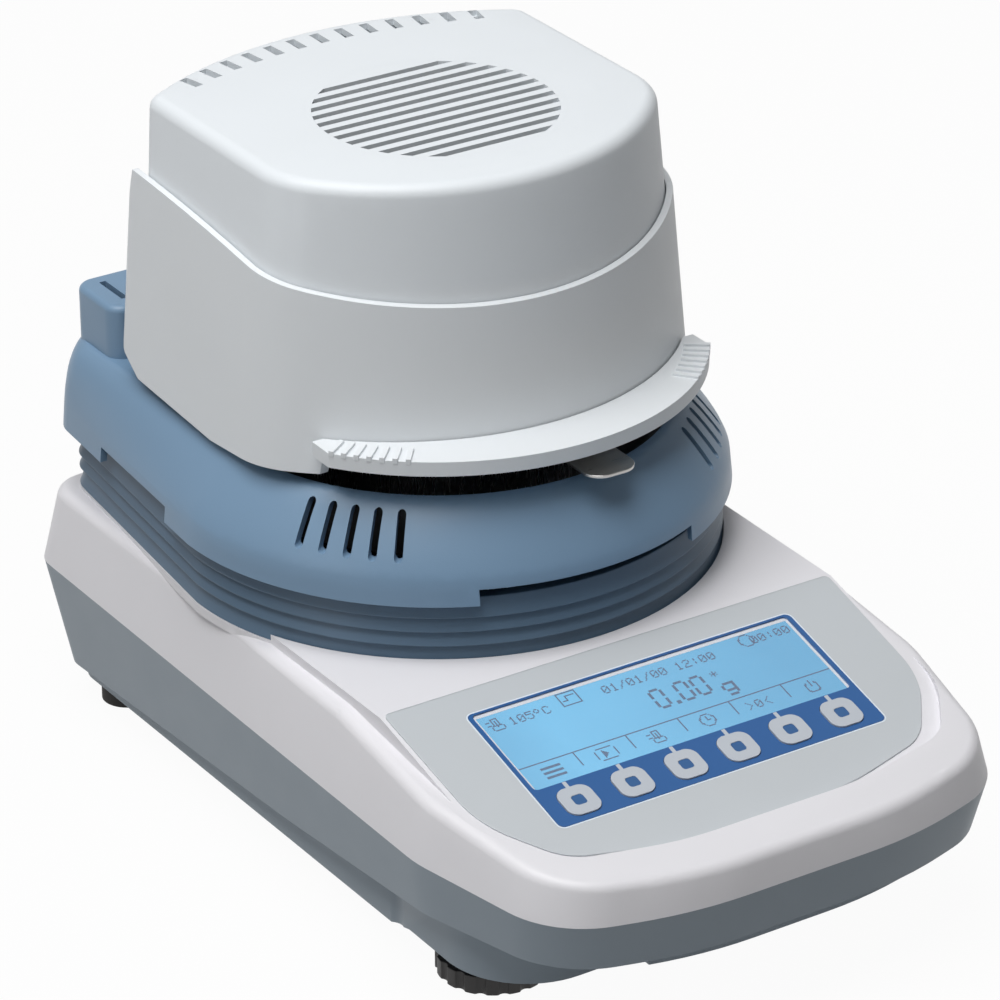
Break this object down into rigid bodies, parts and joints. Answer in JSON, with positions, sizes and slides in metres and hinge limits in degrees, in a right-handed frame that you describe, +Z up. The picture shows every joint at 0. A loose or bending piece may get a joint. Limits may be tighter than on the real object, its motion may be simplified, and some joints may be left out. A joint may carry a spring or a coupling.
{
  "type": "moisture analyzer",
  "caption": "Bench moisture analyser: tilted display and key panel on a weighing base, ribbed drying chamber and a hinged halogen heater hood with a louvred outlet.",
  "frame": {"origin": "centre of the footprint, on the bench", "axes": "+Z up, -Y towards the person at the display, +X to that person's right"},
  "size_m": [0.2104, 0.348, 0.2525],
  "materials": {
    "white_shell": "fine satin texture",
    "grey_shell": "satin",
    "hood_white": "satin, slightly blue white",
    "hood_grey": "satin",
    "blue_grey": "satin",
    "ribbed_grey": "satin",
    "overlay_grey": "fine matt film",
    "display_blue": "printed film",
    "display_pane": "clear",
    "display_module": "back-lit",
    "key_silver": "satin",
    "well_black": "matt",
    "circuit": "solder mask",
    "bare_steel": "brushed",
    "aluminium": "bare",
    "bright_reflector": "polished",
    "lamp_glass": "clear",
    "ceramic": "matt",
    "black_plastic": "moulded",
    "foot_rubber": "matt",
    "brass": "turned"
  },
  "bodies": {
    "base": {"base_bottom_casing": "grey_shell", "base_top_casing": "white_shell", "chamber_collar": "ribbed_grey", "chamber_housing": "blue_grey", "chamber_well": "well_black", "control_overlay": "overlay_grey", "display_bezel": "display_blue", "foot_inserts": "brass", "heat_shield": "aluminium", "hinge_bushes": "black_plastic", "key_board": "circuit", "lcd_module": "display_module", "lcd_window": "display_pane", "load_cell": "aluminium", "load_cell_bracket": "aluminium", "main_board": "circuit", "pan_carrier": "bare_steel", "power_inlet": "black_plastic", "rear_feet": "foot_rubber"},
    "hood": {"hood_top_shell": "hood_white", "hood_grille": "hood_grey", "hood_skirt": "hood_grey", "handle_flange": "blue_grey", "hinge_barrel": "blue_grey", "hinge_pins": "bare_steel", "reflector": "bright_reflector", "halogen_lamp": "lamp_glass", "lamp_sockets": "ceramic", "lamp_glass": "lamp_glass", "glass_frame": "bare_steel", "temperature_probe": "bare_steel", "vent_baffle": "hood_grey"},
    "pan_set": {"sample_pan": "aluminium", "pan_lifter": "bare_steel"},
    "key_1": {"key_1": "key_silver"},
    "key_2": {"key_2": "key_silver"},
    "key_3": {"key_3": "key_silver"},
    "key_4": {"key_4": "key_silver"},
    "key_5": {"key_5": "key_silver"},
    "key_6": {"key_6": "key_silver"},
    "foot_pad_left": {"foot_pad_left": "foot_rubber"},
    "foot_wheel_left": {"foot_wheel_left": "black_plastic"},
    "foot_pad_right": {"foot_pad_right": "foot_rubber"},
    "foot_wheel_right": {"foot_wheel_right": "black_plastic"}
  },
  "joints": [
    {"name": "hood_hinge", "type": "hinge", "parent": "base", "child": "hood", "pos_m": [0, 0.152, 0.155], "axis": [-1, 0, 0], "range_deg": [0, 80]},
    {"name": "pan_lift", "type": "slide", "parent": "base", "child": "pan_set", "axis": [0, 0, 1], "range_m": [0, 0.005]},
    {"name": "key_1_press", "type": "slide", "parent": "base", "child": "key_1", "axis": [0, 0.247, -0.969], "range_m": [0, 0.0006], "stiffness_N_per_m": 400},
    {"name": "key_2_press", "type": "slide", "parent": "base", "child": "key_2", "axis": [0, 0.247, -0.969], "range_m": [0, 0.0006], "stiffness_N_per_m": 400},
    {"name": "key_3_press", "type": "slide", "parent": "base", "child": "key_3", "axis": [0, 0.247, -0.969], "range_m": [0, 0.0006], "stiffness_N_per_m": 400},
    {"name": "key_4_press", "type": "slide", "parent": "base", "child": "key_4", "axis": [0, 0.247, -0.969], "range_m": [0, 0.0006], "stiffness_N_per_m": 400},
    {"name": "key_5_press", "type": "slide", "parent": "base", "child": "key_5", "axis": [0, 0.247, -0.969], "range_m": [0, 0.0006], "stiffness_N_per_m": 400},
    {"name": "key_6_press", "type": "slide", "parent": "base", "child": "key_6", "axis": [0, 0.247, -0.969], "range_m": [0, 0.0006], "stiffness_N_per_m": 400},
    {"name": "foot_left_travel", "type": "slide", "parent": "base", "child": "foot_pad_left", "axis": [0, 0, -1], "range_m": [0, 0.00375]},
    {"name": "foot_left_spin", "type": "hinge", "parent": "foot_pad_left", "child": "foot_wheel_left", "pos_m": [-0.0697, -0.0894, 0], "axis": [0, 0, -1], "range_deg": [0, 1080]},
    {"name": "foot_right_travel", "type": "slide", "parent": "base", "child": "foot_pad_right", "axis": [0, 0, -1], "range_m": [0, 0.00375]},
    {"name": "foot_right_spin", "type": "hinge", "parent": "foot_pad_right", "child": "foot_wheel_right", "pos_m": [0.0697, -0.0894, 0], "axis": [0, 0, -1], "range_deg": [0, 1080]}
  ],
  "couplings": [
    {"joint": "foot_left_spin", "follows": "foot_left_travel", "rad_per_m": 5026.5},
    {"joint": "foot_right_spin", "follows": "foot_right_travel", "rad_per_m": 5026.5}
  ]
}
